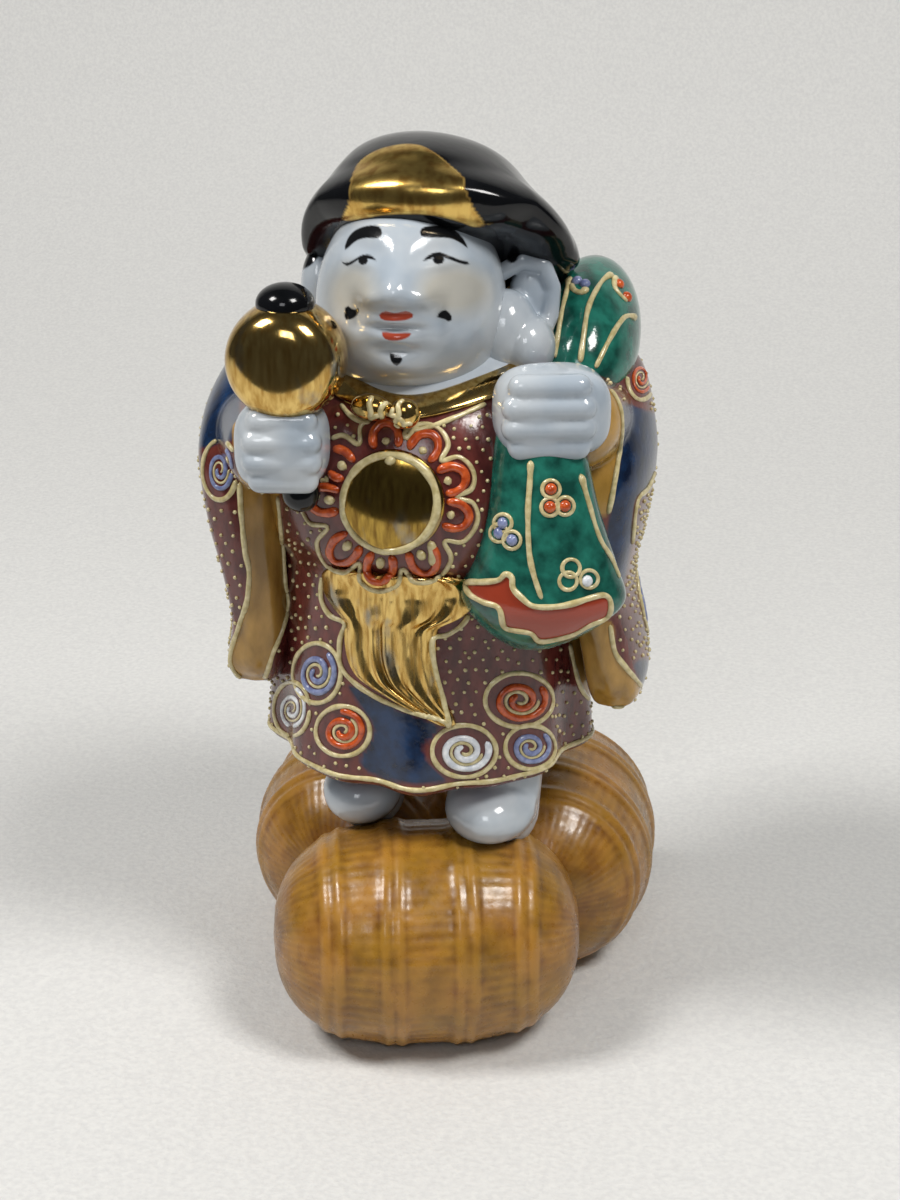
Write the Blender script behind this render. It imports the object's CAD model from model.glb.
import bpy
import numpy as np
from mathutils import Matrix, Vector
from mathutils.bvhtree import BVHTree
from mathutils.kdtree import KDTree


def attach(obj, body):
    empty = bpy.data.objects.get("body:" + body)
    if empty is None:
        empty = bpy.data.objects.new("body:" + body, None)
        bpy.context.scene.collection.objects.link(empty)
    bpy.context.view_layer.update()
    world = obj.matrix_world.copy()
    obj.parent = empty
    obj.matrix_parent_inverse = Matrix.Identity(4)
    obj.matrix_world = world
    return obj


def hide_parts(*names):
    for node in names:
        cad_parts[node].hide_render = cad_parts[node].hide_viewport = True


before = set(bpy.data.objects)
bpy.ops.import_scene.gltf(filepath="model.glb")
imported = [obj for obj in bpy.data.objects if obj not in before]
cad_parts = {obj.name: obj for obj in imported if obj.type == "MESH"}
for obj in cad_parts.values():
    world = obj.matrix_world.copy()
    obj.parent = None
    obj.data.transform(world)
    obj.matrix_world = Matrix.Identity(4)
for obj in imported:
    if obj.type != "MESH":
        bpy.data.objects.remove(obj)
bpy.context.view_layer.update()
print("frame loaded")

# A glazed porcelain figure of the luck deity on three rice bales.
# Forms are drawn in millimetres, heights over the soles, and the figure looks along -Y.
turn = 2 * np.pi
mm = 0.001
soleHeight = 46.0  # the soles stand this far over the floor


# Camera at the photograph's angle
cameraSetup = {
    "azimuth": 10, "elevation": 22,  # degrees
    "distance": 0.520, "target": (0.004, 0.0, 0.095),
    "photoWidth": 900, "photoHeight": 1200, "focalPixels": 2275,
}


def cameraAxes():
    # back points from the target to the camera, right and up span the picture
    az, el = np.radians(cameraSetup["azimuth"]), np.radians(cameraSetup["elevation"])
    back = np.array([np.sin(az) * np.cos(el), -np.cos(az) * np.cos(el), np.sin(el)])
    right = np.array([np.cos(az), np.sin(az), 0.0])
    return back, right, np.cross(back, right)


def cameraPlace():
    return np.array(cameraSetup["target"]) + cameraAxes()[0] * cameraSetup["distance"]


def makeCamera():
    data = bpy.data.cameras.new("camera")
    data.sensor_width = 36
    data.lens = cameraSetup["focalPixels"] / cameraSetup["photoHeight"] * 36
    camera = bpy.data.objects.new("camera", data)
    camera.location = cameraPlace()
    camera.rotation_mode = "QUATERNION"
    camera.rotation_quaternion = Vector(-cameraAxes()[0]).to_track_quat("-Z", "Y")
    bpy.context.scene.collection.objects.link(camera)
    bpy.context.scene.camera = camera


def toPhoto(points):
    # metres to the photograph's pixels: offset over depth, times the focal length
    back, right, up = cameraAxes()
    away = points - cameraPlace()
    depth = -away @ back
    u = cameraSetup["photoWidth"] / 2 + cameraSetup["focalPixels"] * (away @ right) / depth
    v = cameraSetup["photoHeight"] / 2 - cameraSetup["focalPixels"] * (away @ up) / depth
    return np.stack([u, v], -1)


def photoRays(pixels):
    # the same formula turned round: from the eye through each pixel
    back, right, up = cameraAxes()
    u = (pixels[:, :1] - cameraSetup["photoWidth"] / 2) / cameraSetup["focalPixels"]
    v = (cameraSetup["photoHeight"] / 2 - pixels[:, 1:]) / cameraSetup["focalPixels"]
    rays = -back + u * right + v * up
    return np.broadcast_to(cameraPlace(), rays.shape), rays / np.linalg.norm(rays, axis=1, keepdims=True)


# Number helpers
def hump(distance, width):
    return np.exp(-(distance / width) ** 2)


def signedPower(value, power):
    return np.sign(value) * np.abs(value) ** power


def ramp(value, low, high):
    # 0 below low, 1 above high, smooth between
    t = np.clip((value - low) / (high - low), 0, 1)
    return t * t * (3 - 2 * t)


def smoothRows(rows):
    # cubic pieces through rows [key, values...], level wherever a value turns back
    rows = np.array(rows, float)
    key, value = rows[:, 0], rows[:, 1:]
    slope = np.empty_like(value)
    slope[1:-1] = (value[2:] - value[:-2]) / (key[2:] - key[:-2])[:, None]
    slope[0] = (value[1] - value[0]) / (key[1] - key[0])
    slope[-1] = (value[-1] - value[-2]) / (key[-1] - key[-2])
    turnsBack = (value[1:-1] - value[:-2]) * (value[2:] - value[1:-1]) <= 0
    slope[1:-1][turnsBack] = 0

    def at(where):
        where = np.clip(where, key[0], key[-1])
        i = np.clip(np.searchsorted(key, where, side="right") - 1, 0, len(key) - 2)
        step = (key[i + 1] - key[i])[..., None]
        t = ((where - key[i]) / (key[i + 1] - key[i]))[..., None]
        ease = t * t * (3 - 2 * t)
        return (value[i] * (1 - ease) + value[i + 1] * ease
                + slope[i] * step * t * (1 - t) ** 2 + slope[i + 1] * step * t * t * (t - 1))
    return at


# Mesh helpers
def skinFaces(around, rings):
    # faces of a top point, rings of points and a bottom point
    first = np.arange((rings - 1) * around).reshape(rings - 1, around) + 1
    after = np.roll(first, -1, axis=1)
    quads = np.stack([first, first + around, after + around, after], -1).reshape(-1, 4)
    column = np.arange(around)
    following = (column + 1) % around
    capFaces = np.stack([np.zeros(around, int), column + 1, following + 1], -1)
    lastRow = 1 + (rings - 1) * around
    baseFaces = np.stack([lastRow + following, lastRow + column, np.full(around, lastRow + around)], -1)
    return [quads, capFaces, baseFaces]


def skinGrid(place, around, rows):
    # closed skin: place(angle, t) over a grid, angle anticlockwise from above, t from the top down
    angle, t = np.meshgrid(np.arange(around) / around * turn, np.arange(1, rows) / rows)
    top = place(np.zeros(1), np.zeros(1)).reshape(1, 3)
    bottom = place(np.zeros(1), np.ones(1)).reshape(1, 3)
    return np.vstack([top, place(angle, t).reshape(-1, 3), bottom]), skinFaces(around, rows - 1)


def ringFaces(around, section):
    # faces of a grid that closes on itself both ways
    here = np.arange(around * section).reshape(section, around)
    right, up = np.roll(here, -1, axis=1), np.roll(here, -1, axis=0)
    return [np.stack([here, right, np.roll(up, -1, axis=1), up], -1).reshape(-1, 4)]


def ringGrid(place, around, section):
    # closed ring: place(angle, turnIn), turnIn round the section from its outer side upwards
    angle, turnIn = np.meshgrid(np.arange(around) / around * turn, np.arange(section) / section * turn)
    return place(angle, turnIn).reshape(-1, 3), ringFaces(around, section)


def joinGrids(grids):
    # one list of points and faces out of several
    points, faces, start = [], [], 0
    for gridPoints, gridFaces in grids:
        points.append(gridPoints)
        faces += [block + start for block in gridFaces]
        start += len(gridPoints)
    return np.vstack(points), faces


def toMesh(name, points, faces):
    mesh = bpy.data.meshes.new(name)
    mesh.vertices.add(len(points))
    mesh.vertices.foreach_set("co", np.ascontiguousarray(points, dtype=np.float32).ravel())
    sizes = np.concatenate([np.full(len(block), block.shape[1]) for block in faces])
    starts = np.concatenate([[0], np.cumsum(sizes)[:-1]])
    corners = np.concatenate([block.ravel() for block in faces])
    mesh.loops.add(len(corners))
    mesh.loops.foreach_set("vertex_index", corners.astype(np.int32))
    mesh.polygons.add(len(sizes))
    mesh.polygons.foreach_set("loop_start", starts.astype(np.int32))
    mesh.polygons.foreach_set("use_smooth", np.ones(len(sizes), dtype=bool))
    mesh.update(calc_edges=True)
    mesh.validate()
    return mesh


def onBales(points):
    # drawn millimetres over the soles to metres over the floor
    return (points + np.array([0, 0, soleHeight])) * mm


def addPiece(name, mesh, material):
    piece = bpy.data.objects.new(name, mesh)
    bpy.context.scene.collection.objects.link(piece)
    mesh.materials.append(material)
    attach(piece, "root")
    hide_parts("daikoku_figure")
    print("made", name, len(mesh.polygons), "faces")
    return piece


def gridPiece(name, grids, material):
    points, faces = joinGrids(grids)
    return addPiece(name, toMesh(name, onBales(points), faces), material)


def castPiece(name, grids, material, voxel, smoothing):
    # overlapping forms melted into one skin, as clay luted and sponged
    points, faces = joinGrids(grids)
    rough = bpy.data.objects.new(name + "_rough", toMesh(name + "_rough", onBales(points), faces))
    bpy.context.scene.collection.objects.link(rough)
    remesh = rough.modifiers.new("melt", "REMESH")
    remesh.mode = "VOXEL"
    remesh.voxel_size = voxel * mm
    sponge = rough.modifiers.new("sponge", "SMOOTH")
    sponge.factor = 0.5
    sponge.iterations = smoothing
    mesh = bpy.data.meshes.new_from_object(rough.evaluated_get(bpy.context.evaluated_depsgraph_get()))
    bpy.data.objects.remove(rough)
    mesh.name = name
    mesh.materials.clear()
    mesh.polygons.foreach_set("use_smooth", np.ones(len(mesh.polygons), dtype=bool))
    return addPiece(name, mesh, material)


def vectorsOf(piece, kind):
    # every point's place ("co") or normal
    vectors = np.empty(len(piece.data.vertices) * 3, dtype=np.float32)
    piece.data.vertices.foreach_get(kind, vectors)
    return vectors.reshape(-1, 3).astype(float)


def offBales(points):
    # metres over the floor back to drawn millimetres over the soles
    return points / mm - np.array([0, 0, soleHeight])


def roundFrom(points):
    # each point's angle round the figure, from +X
    return np.arctan2(points[:, 1], points[:, 0])


def paintOn(piece, name, amount):
    # keeps how much of a paint each point carries
    layer = piece.data.attributes.new(name, "FLOAT", "POINT")
    layer.data.foreach_set("value", np.clip(amount, 0, 1).astype(np.float32))


# Form helpers, as in the casting: each gives place(angle, t) in drawn millimetres
def slices(rows, shape=None):
    rows = np.array(rows, float)
    fall, widening, deepening = np.diff(rows[:, 0]), np.diff(rows[:, 3]), np.diff(rows[:, 4])
    travelled = np.concatenate([[0], np.cumsum(np.sqrt(fall ** 2 + widening ** 2 + deepening ** 2 / 4))])
    sliceAt = smoothRows(np.column_stack([travelled, rows]))

    def place(angle, t):
        z, centreX, centreY, width, front, back = np.moveaxis(sliceAt(t * travelled[-1]), -1, 0)
        depth = np.where(np.sin(angle) < 0, front, back)
        x = centreX + np.maximum(width, 0) * np.cos(angle)
        y = centreY + np.maximum(depth, 0) * np.sin(angle)
        point = np.stack([x, y, z + 0 * x], -1)
        return point if shape is None else shape(angle, point, centreX, width)
    return place


def turned(vectors, turnX=0.0, turnZ=0.0):
    # degrees about X, then about Z
    ax, az = np.radians(turnX), np.radians(turnZ)
    aboutX = np.array([[1, 0, 0], [0, np.cos(ax), -np.sin(ax)], [0, np.sin(ax), np.cos(ax)]])
    aboutZ = np.array([[np.cos(az), -np.sin(az), 0], [np.sin(az), np.cos(az), 0], [0, 0, 1]])
    return vectors @ (aboutZ @ aboutX).T


def lump(centre, radii, turnX=0, turnZ=0, shape=None):
    # a ball stretched to three radii
    def place(angle, t):
        level = np.sin(np.pi * t)
        unit = np.stack([level * np.cos(angle), level * np.sin(angle), np.cos(np.pi * t) + 0 * angle], -1)
        if shape is not None:
            unit = unit * shape(unit)[..., None]
        return turned(unit * np.array(radii), turnX, turnZ) + np.array(centre)
    return place


def rod(start, end, startRadius, endRadius=None):
    # round-ended rod between two points
    start, end = np.array(start, float), np.array(end, float)
    endRadius = startRadius if endRadius is None else endRadius
    length = np.linalg.norm(end - start)
    axis = (end - start) / length
    side = np.cross(axis, [0, 0, 1])
    side /= np.linalg.norm(side)
    across = np.cross(side, axis)

    def place(angle, t):
        share = (1 - np.cos(np.pi * t)) / 2
        along = (length + startRadius + endRadius) * share - startRadius
        radius = startRadius + (endRadius - startRadius) * along / length
        startCap = np.sqrt(np.maximum(startRadius ** 2 - along ** 2, 0))
        endCap = np.sqrt(np.maximum(endRadius ** 2 - (along - length) ** 2, 0))
        radius = np.where(along < 0, startCap, np.where(along > length, endCap, radius))
        return (start + axis * (along + 0 * angle)[..., None] + side * (radius * np.cos(angle))[..., None]
                + across * (radius * np.sin(angle))[..., None])
    return place


# Material helpers
def fromHex(text):
    # sRGB hex to linear light
    channels = np.array([int(text[i:i + 2], 16) / 255 for i in (1, 3, 5)])
    linear = np.where(channels <= 0.04045, channels / 12.92, ((channels + 0.055) / 1.055) ** 2.4)
    return (*linear.tolist(), 1.0)


def addNode(material, kind, settings=None, inputs=None):
    # a node with its settings and its sockets, which take numbers, colours or other nodes' outputs
    node = material.node_tree.nodes.new(kind)
    for key, value in (settings or {}).items():
        setattr(node, key, value)
    for key, value in (inputs or {}).items():
        if isinstance(value, bpy.types.NodeSocket):
            material.node_tree.links.new(value, node.inputs[key])
        else:
            node.inputs[key].default_value = value
    return node


def newMaterial(name, sockets):
    # a material with its principled shader ready; sockets are set on the shader itself
    material = bpy.data.materials.new(name)
    material.use_nodes = True
    shader = material.node_tree.nodes["Principled BSDF"]
    for key, value in sockets.items():
        shader.inputs[key].default_value = value
    return material, shader


def patches(material, size, detail=3.0, stretch=(1, 1, 1), low=0.35, high=0.65):
    # noise with features about size millimetres across, drawn out from 0 to 1 between two of its levels
    where = addNode(material, "ShaderNodeTexCoord").outputs["Object"]
    drawn = addNode(material, "ShaderNodeMapping", inputs={"Vector": where, "Scale": stretch})
    speckle = addNode(material, "ShaderNodeTexNoise", inputs={
        "Vector": drawn.outputs["Vector"], "Scale": 1 / (size * mm), "Detail": detail})
    return addNode(material, "ShaderNodeMapRange", inputs={
        "Value": speckle.outputs["Fac"], "From Min": low, "From Max": high}).outputs["Result"]


def mottled(material, first, second, size, detail=3.0, stretch=(1, 1, 1), low=0.35, high=0.65):
    # two colours that take turns over patches of one size
    share = patches(material, size, detail, stretch, low, high)
    return addNode(material, "ShaderNodeMix", {"data_type": "RGBA"}, {
        0: share, 6: fromHex(first), 7: fromHex(second)}).outputs[2]


def laidOver(material, ground, layers):
    # each layer's colour laid over those before it where its painted attribute says
    for name, colour in layers.items():
        amount = addNode(material, "ShaderNodeAttribute", {"attribute_name": name}).outputs["Fac"]
        ground = addNode(material, "ShaderNodeMix", {"data_type": "RGBA"}, {
            0: amount, 6: ground, 7: colour}).outputs[2]
    return ground


def polish(material, shader, share, glossiest, dullest):
    # roughness between two levels, as the share goes from 0 to 1
    gloss = addNode(material, "ShaderNodeMapRange", inputs={
        "Value": share, "To Min": glossiest, "To Max": dullest})
    material.node_tree.links.new(gloss.outputs["Result"], shader.inputs["Roughness"])


def finish(material, shader, colour, size, depth, detail=3.0, stretch=(1, 1, 1)):
    # the colour, and an uneven surface with ripples of one size and depth in millimetres
    ripples = patches(material, size, detail, stretch, 0, 1)
    relief = addNode(material, "ShaderNodeBump", inputs={"Height": ripples, "Distance": depth * mm})
    material.node_tree.links.new(colour, shader.inputs["Base Color"])
    material.node_tree.links.new(relief.outputs["Normal"], shader.inputs["Normal"])
    return material


def glazedPorcelain():
    # clear glaze over a cold white body: wet gloss, faint blue pooling and a slight orange peel
    material, shader = newMaterial("glazed_porcelain", {
        "Roughness": 0.14, "IOR": 1.52, "Coat Weight": 0.3})
    body = mottled(material, "#a5b0bb", "#bfc5ca", 14)
    inked = laidOver(material, body, {
        "wash": fromHex("#a8935f"), "lips": fromHex("#9c3f2b"), "ink": fromHex("#0f1012")})
    return finish(material, shader, inked, 3.0, 0.05)


def blackGlaze():
    # thick black glaze, glossy, with gold lustre brushed on in front and worn in streaks
    material, shader = newMaterial("black_glaze", {"IOR": 1.4, "Coat Weight": 0.05})
    body = mottled(material, "#07080a", "#101114", 9)
    gold = mottled(material, "#e3bf6c", "#b98f48", 2.2, 5, (1, 1, 0.35), 0.42, 0.62)
    gilt = addNode(material, "ShaderNodeAttribute", {"attribute_name": "gilt"}).outputs["Fac"]
    material.node_tree.links.new(gilt, shader.inputs["Metallic"])
    polish(material, shader, gilt, 0.13, 0.22)
    return finish(material, shader, laidOver(material, body, {"gilt": gold}), 2.6, 0.05)


def goldLustre(name, bright, deep, dullest, ripple):
    # brushed-on gold lustre over glaze: mirror-like with brush streaks, worn through to grey
    material, shader = newMaterial(name, {"Metallic": 1.0})
    streaks = {"size": 1.1, "detail": 4, "stretch": (1, 1, 0.18)}
    gold = mottled(material, bright, deep, **streaks)
    worn = patches(material, 5.5, 4, (1, 1, 0.5), 0.56, 0.7)
    colour = addNode(material, "ShaderNodeMix", {"data_type": "RGBA"}, {
        0: worn, 6: gold, 7: fromHex("#97907f")}).outputs[2]
    polish(material, shader, patches(material, **streaks), 0.1, dullest)
    return finish(material, shader, colour, depth=ripple, **streaks)


def robeEnamel():
    # iron-brown enamel laid with a broad brush over the glaze, blue enamel in the patches
    material, shader = newMaterial("robe_enamel", {"Roughness": 0.2, "IOR": 1.5, "Coat Weight": 0.2})
    ground = mottled(material, "#4d211f", "#6d332d", 2.4, 5, (1, 1, 0.4), 0.35, 0.68)
    colour = laidOver(material, ground, {
        "halo": fromHex("#7a3420"), "blue": mottled(material, "#09162d", "#143054", 4, 4),
        "lining": mottled(material, "#8d6a2c", "#b98f45", 5, 4, (1, 1, 0.4)), "skin": fromHex("#b3bbc3"),
    })
    return finish(material, shader, colour, 1.2, 0.06, 4)


def greenEnamel():
    # thick translucent green enamel, darker where it pools, with a brick red mouth
    material, shader = newMaterial("green_enamel", {"Roughness": 0.13, "IOR": 1.5, "Coat Weight": 0.3})
    green = mottled(material, "#10433a", "#267666", 4.5, 4)
    return finish(material, shader, laidOver(material, green, {"red": fromHex("#9d3d27")}), 1.6, 0.06)


def strawGlaze():
    # ochre glaze over straw relief: it runs thin and tan on the ridges and pools brown in the grooves
    material, shader = newMaterial("straw_glaze", {"IOR": 1.48, "Coat Weight": 0.1})
    groove = addNode(material, "ShaderNodeAttribute", {"attribute_name": "groove"}).outputs["Fac"]
    streak = addNode(material, "ShaderNodeMapRange", inputs={
        "Value": patches(material, 5, 5), "To Min": -0.3, "To Max": 0.3}).outputs["Result"]
    depth = addNode(material, "ShaderNodeMath", {"operation": "ADD"}, {0: groove, 1: streak})
    colour = addNode(material, "ShaderNodeMix", {"data_type": "RGBA"}, {
        0: depth.outputs["Value"], 6: mottled(material, "#9b7125", "#a87730", 11),
        7: mottled(material, "#654414", "#734617", 11)}).outputs[2]
    polish(material, shader, patches(material, 2.0), 0.24, 0.4)
    return finish(material, shader, colour, 1.8, 0.07, 4)


def slipEnamel(name, dark, light):
    # enamel trailed on from a fine nozzle: rounded, wet and slightly uneven in depth
    material, shader = newMaterial(name, {"Roughness": 0.18, "IOR": 1.5, "Coat Weight": 0.3})
    return finish(material, shader, mottled(material, dark, light, 1.5), 0.8, 0.04, 2)


# Bales: straw barrels with paired rope bands, straw ribs along them and spokes on the ends
baleSettings = {
    "radius": 25.3, "flat": 1.2, "press": 4.6, "middle": 2, "endPower": 3, "shoulderPower": 2.3,
    "endEase": 0.35, "around": 248, "rows": 96,
    "frontLength": 70, "frontYaw": 13, "frontAside": 1.3, "frontGap": 1.8,
    "backLength": 66, "backYaw": 2, "backOverlap": 10.5, "backStagger": 1.5,
    "bandPlaces": (-0.62, -0.23, 0.23, 0.62), "ropeGap": 3.2, "ropeWidth": 1.3, "ropeHeight": 0.75,
    "ropeWander": 0.35, "ribs": 62, "ribDepth": 0.07, "ribWander": 0.012,
    "ribUnderRope": 0.7, "ribFaintest": 0.1, "sag": 0.006,
    "groove": {"ground": 0.3, "ropeEdge": 0.45, "rib": -0.2, "rope": -0.3, "end": 0.3},
    "webCentre": (2, -2, -42), "webRadii": (12, 12, 11), "webFlatness": 0.75,
}


def strawBarrel(half, seed):
    # barrel radius R(1-|s|^3)^(1/2.3) along the axis, plus rope humps and fine rib waves
    s = baleSettings

    def at(angle, t):
        # share of the half length, radius, and how much rope and rib there is
        share = s["endEase"] * np.sin(np.pi * (0.5 - t)) + (1 - s["endEase"]) * (1 - 2 * t)
        share = np.clip(share, -1, 1)
        barrel = s["radius"] * np.maximum(1 - np.abs(share) ** s["endPower"], 0) ** (1 / s["shoulderPower"])
        across = share * half
        rope = np.zeros_like(share + angle)
        for place in s["bandPlaces"]:
            wander = s["ropeWander"] * np.sin(3 * angle + 7 * place + seed)
            for strand in (-0.5, 0.5):
                rope += hump(across - place * half - strand * s["ropeGap"] + wander, s["ropeWidth"])
        drift = 1.2 * np.sin(2 * angle + seed) + 0.5 * np.sin(across * 0.35 + seed)
        rib = np.cos(s["ribs"] * (angle + s["ribWander"] * drift))
        rib = rib * (1 - s["ribUnderRope"] * np.clip(rope, 0, 1))
        strength = np.sin(5 * angle + seed) * np.sin(across * 0.17 + 2 * seed)
        rib = rib * ((1 + s["ribFaintest"]) / 2 + (1 - s["ribFaintest"]) / 2 * strength)
        sag = s["sag"] * np.sin(2 * angle + seed) * np.cos(4 * share + seed)
        fade = ramp(barrel / s["radius"], 0.1, 0.5)
        radius = barrel * (1 + sag) + fade * (s["ropeHeight"] * rope + s["ribDepth"] * rib)
        return share, np.maximum(radius * (barrel > 0), 0), rope, rib
    return at


def bale(name, centre, yaw, length, seed, material):
    # the barrel laid level at a yaw, its underside cut flat by the floor and its grooves painted
    s = baleSettings
    yaw = np.radians(yaw)
    along, side = np.array([np.cos(yaw), np.sin(yaw), 0]), np.array([-np.sin(yaw), np.cos(yaw), 0])
    barrelAt = strawBarrel(length / 2, seed)

    def place(angle, t):
        share, radius, _, _ = barrelAt(angle, t)
        point = (np.array([*centre, s["radius"] - s["flat"] - soleHeight])
                 + along * (length / 2 * share + 0 * angle)[..., None]
                 + side * (radius * np.cos(angle))[..., None]
                 + np.array([0, 0, 1]) * (radius * np.sin(angle))[..., None])
        point[..., 2] = np.maximum(point[..., 2], -soleHeight)
        return point
    piece = gridPiece(name, [skinGrid(place, s["around"], s["rows"])], material)
    angle, t = np.meshgrid(np.arange(s["around"]) / s["around"] * turn, np.arange(1, s["rows"]) / s["rows"])
    share, _, rope, rib = barrelAt(angle, t)
    ropeEdge = np.clip(1 - np.abs(rope - 0.35) / 0.35, 0, 1) * (rope > 0.02)
    g = s["groove"]
    groove = g["ground"] + g["ropeEdge"] * ropeEdge + g["rib"] * rib + g["rope"] * np.clip(rope, 0, 1)
    groove = groove + g["end"] * ramp(np.abs(share), 0.8, 0.98)
    paintOn(piece, "groove", np.concatenate([[0.5], groove.ravel(), [0.5]]))


def baleWeb(angle, t):
    # a blunt block of clay that closes the middle of the underside
    s = baleSettings
    point = lump(s["webCentre"], s["webRadii"],
                 shape=lambda unit: 1 / np.maximum(np.abs(unit).max(-1), s["webFlatness"]))(angle, t)
    point[..., 2] = np.maximum(point[..., 2], -soleHeight)
    return point


def makeBales(material):
    s = baleSettings
    spread = s["radius"] - s["press"] / 2
    backY = s["backLength"] / 2 - s["backOverlap"]
    front = (s["middle"] + s["frontAside"], -(s["radius"] + s["frontGap"]))
    bale("front_bale", front, s["frontYaw"], s["frontLength"], 1.0, material)
    for name, side, seed in (("left_back_bale", 1, 2.3), ("right_back_bale", -1, 4.1)):
        back = (s["middle"] + side * spread, backY - side * s["backStagger"])
        bale(name, back, 90 + side * s["backYaw"], s["backLength"], seed, material)
    web = gridPiece("bale_web", [skinGrid(baleWeb, 48, 24)], material)
    paintOn(web, "groove", np.full(len(web.data.vertices), 0.5))


# Robe
robeSettings = {
    "foldDepth": 1.1, "skirtTop": 59, "skirtDrop": 40, "fullWidth": 30,
    "folds": ((9, 0.6, 1), (14, 2, 0.6)),  # how many round, turned by, share of the depth
    "rows": [
        (117.5, 0, 2, 0, 0, 0), (117, 0, 2, 14, 14, 12), (114, 0, 2, 22, 22, 18), (109, 0, 1, 30, 30, 25),
        (102, 0, 0, 36, 37, 30), (94, 0, 0, 39, 41, 33), (84, 0, 0, 39.5, 42.5, 34),
        (74, 0, 0, 38, 41, 34), (68, 0, 0, 36, 37.5, 33.5), (64, 0, 0, 35.3, 36, 33),
        (49, 0, 0, 35.5, 36.5, 33), (34, 0, 0, 36, 37.5, 34), (22, 0, 0, 36.4, 38.3, 35),
        (19, 0, 0, 36, 38, 34.6), (17.8, 0, 0, 34, 36, 32), (19.5, 0, 0, 20, 20, 20), (20, 0, 0, 0, 0, 0),
    ],
}


def skirtFolds(angle, point, centreX, width):
    # two waves round the skirt that deepen towards the hem
    s = robeSettings
    deepening = np.clip((s["skirtTop"] - point[..., 2]) / s["skirtDrop"], 0, 1) ** 1.5
    depth = s["foldDepth"] * deepening * np.clip(width / s["fullWidth"], 0, 1)
    wave = depth * sum(share * np.cos(count * angle + shift) for count, shift, share in s["folds"])
    return point + wave[..., None] * np.stack([np.cos(angle), np.sin(angle), 0 * angle], -1)


robeOutline = smoothRows(robeSettings["rows"][:-3][::-1])


def robeFront(x, z):
    # the robe's front surface y at an x and a height
    _, centreY, width, front, _ = np.moveaxis(robeOutline(z), -1, 0)
    return centreY - front * np.sqrt(np.maximum(1 - (x / width) ** 2, 0))


def makeRobe(material):
    return gridPiece("robe", [skinGrid(slices(robeSettings["rows"], skirtFolds), 280, 170)], material)


# Collar
collarSettings = {
    "front": 107.8, "nape": 116, "dip": 2.6, "dipWidth": 0.4, "width": 3.8, "sideWidth": 3.6, "lift": 1.4,
    "knot": (((-5.6, -38.6, 106.2), (4.4, 2.6, 2.8), -12), ((1.6, -39.3, 105.4), (3.2, 2.6, 3.2), 6)),
}


def collarHeight(angle):
    # low in front, dipping under the chin, and high at the nape
    s = collarSettings
    dip = np.where(np.sin(angle) < 0, s["dip"] * hump(np.cos(angle), s["dipWidth"]), 0)
    return s["front"] + (s["nape"] - s["front"]) * (1 + np.sin(angle)) / 2 - dip


def collarBand(angle, turnIn):
    # a band that follows the robe's outline at each of its own heights
    s = collarSettings
    towardsFront = np.where(np.sin(angle) < 0, np.sin(angle) ** 2, 0)
    bandWidth = s["sideWidth"] + (s["width"] - s["sideWidth"]) * towardsFront
    height = collarHeight(angle) + bandWidth / 2 * signedPower(np.sin(turnIn), 0.8)
    _, centreY, halfWidth, front, back = np.moveaxis(robeOutline(height), -1, 0)
    out = s["lift"] * signedPower(np.cos(turnIn), 0.6)
    depth = np.where(np.sin(angle) < 0, front, back)
    x = (halfWidth + out) * np.cos(angle)
    return np.stack([x, centreY + (depth + out) * np.sin(angle), height], -1)


def makeCollar(material):
    # the band and the two lobes of its knot
    lobes = collarSettings["knot"]
    knot = [skinGrid(lump(centre, radii, turnZ=yaw), 40, 30) for centre, radii, yaw in lobes]
    return gridPiece("collar", [ringGrid(collarBand, 240, 16)] + knot, material)


# Sleeves
sleeveSettings = {
    "mouthTop": 104, "mouthDepth": 5, "mouthShare": 0.62, "mouthFade": 12,
    "forearms": {  # wrist and elbow ends with their radii
        "right": ((-38, -6, 91), (-27, -38, 96), 11, 9.5), "left": ((37, 2, 93), (34, -24, 101), 10, 10.5),
    },
    "right": [
        (114.5, -29, 5, 0, 0, 0), (114, -30, 5, 6, 8, 8), (110, -31.5, 4, 10.5, 14, 12),
        (104, -34, 2, 12, 20, 15), (96, -36.7, 0, 13, 28, 17), (87, -38, -3, 12, 32, 18),
        (74, -37.5, -6, 10, 30, 19), (62, -36, -8, 8.3, 27, 19), (50, -35.3, -9, 7.3, 24, 18),
        (41, -36.4, -11, 7.6, 20, 14), (36.5, -37.2, -12, 6.4, 15, 10), (34.2, -37.5, -13, 4.4, 9, 7),
        (33.6, -37.5, -13, 0, 0, 0),
    ],
    "left": [
        (113, 30, 8, 0, 0, 0), (112.5, 30, 8, 7, 8, 8), (106, 33, 6, 12, 17, 14),
        (97, 35, 3, 13.5, 26, 17), (87, 37, 1, 13, 31, 18), (74, 37.8, 0, 10.8, 30, 19),
        (60, 38.6, -2, 7.6, 27, 19), (49, 41.4, -3, 7, 25, 18), (40, 43, -4, 7.1, 22, 16),
        (34.5, 43.4, -6, 6, 16, 11), (32, 43.2, -7, 4.2, 10, 8), (31.4, 43.2, -7, 0, 0, 0),
    ],
}


def sleeveMouth(angle, point, centreX, width):
    # a hollow down the sleeve's front
    s = sleeveSettings
    across = np.exp(-((point[..., 0] - centreX) / (s["mouthShare"] * np.maximum(width, 1))) ** 4)
    along = np.clip((s["mouthTop"] - point[..., 2]) / s["mouthFade"], 0, 1)
    atCuff = np.clip((width - 3) / 3, 0, 1)
    push = np.where(np.sin(angle) < 0, s["mouthDepth"] * across * along * atCuff, 0)
    return point + np.stack([0 * push, push, 0 * push], -1)


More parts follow.
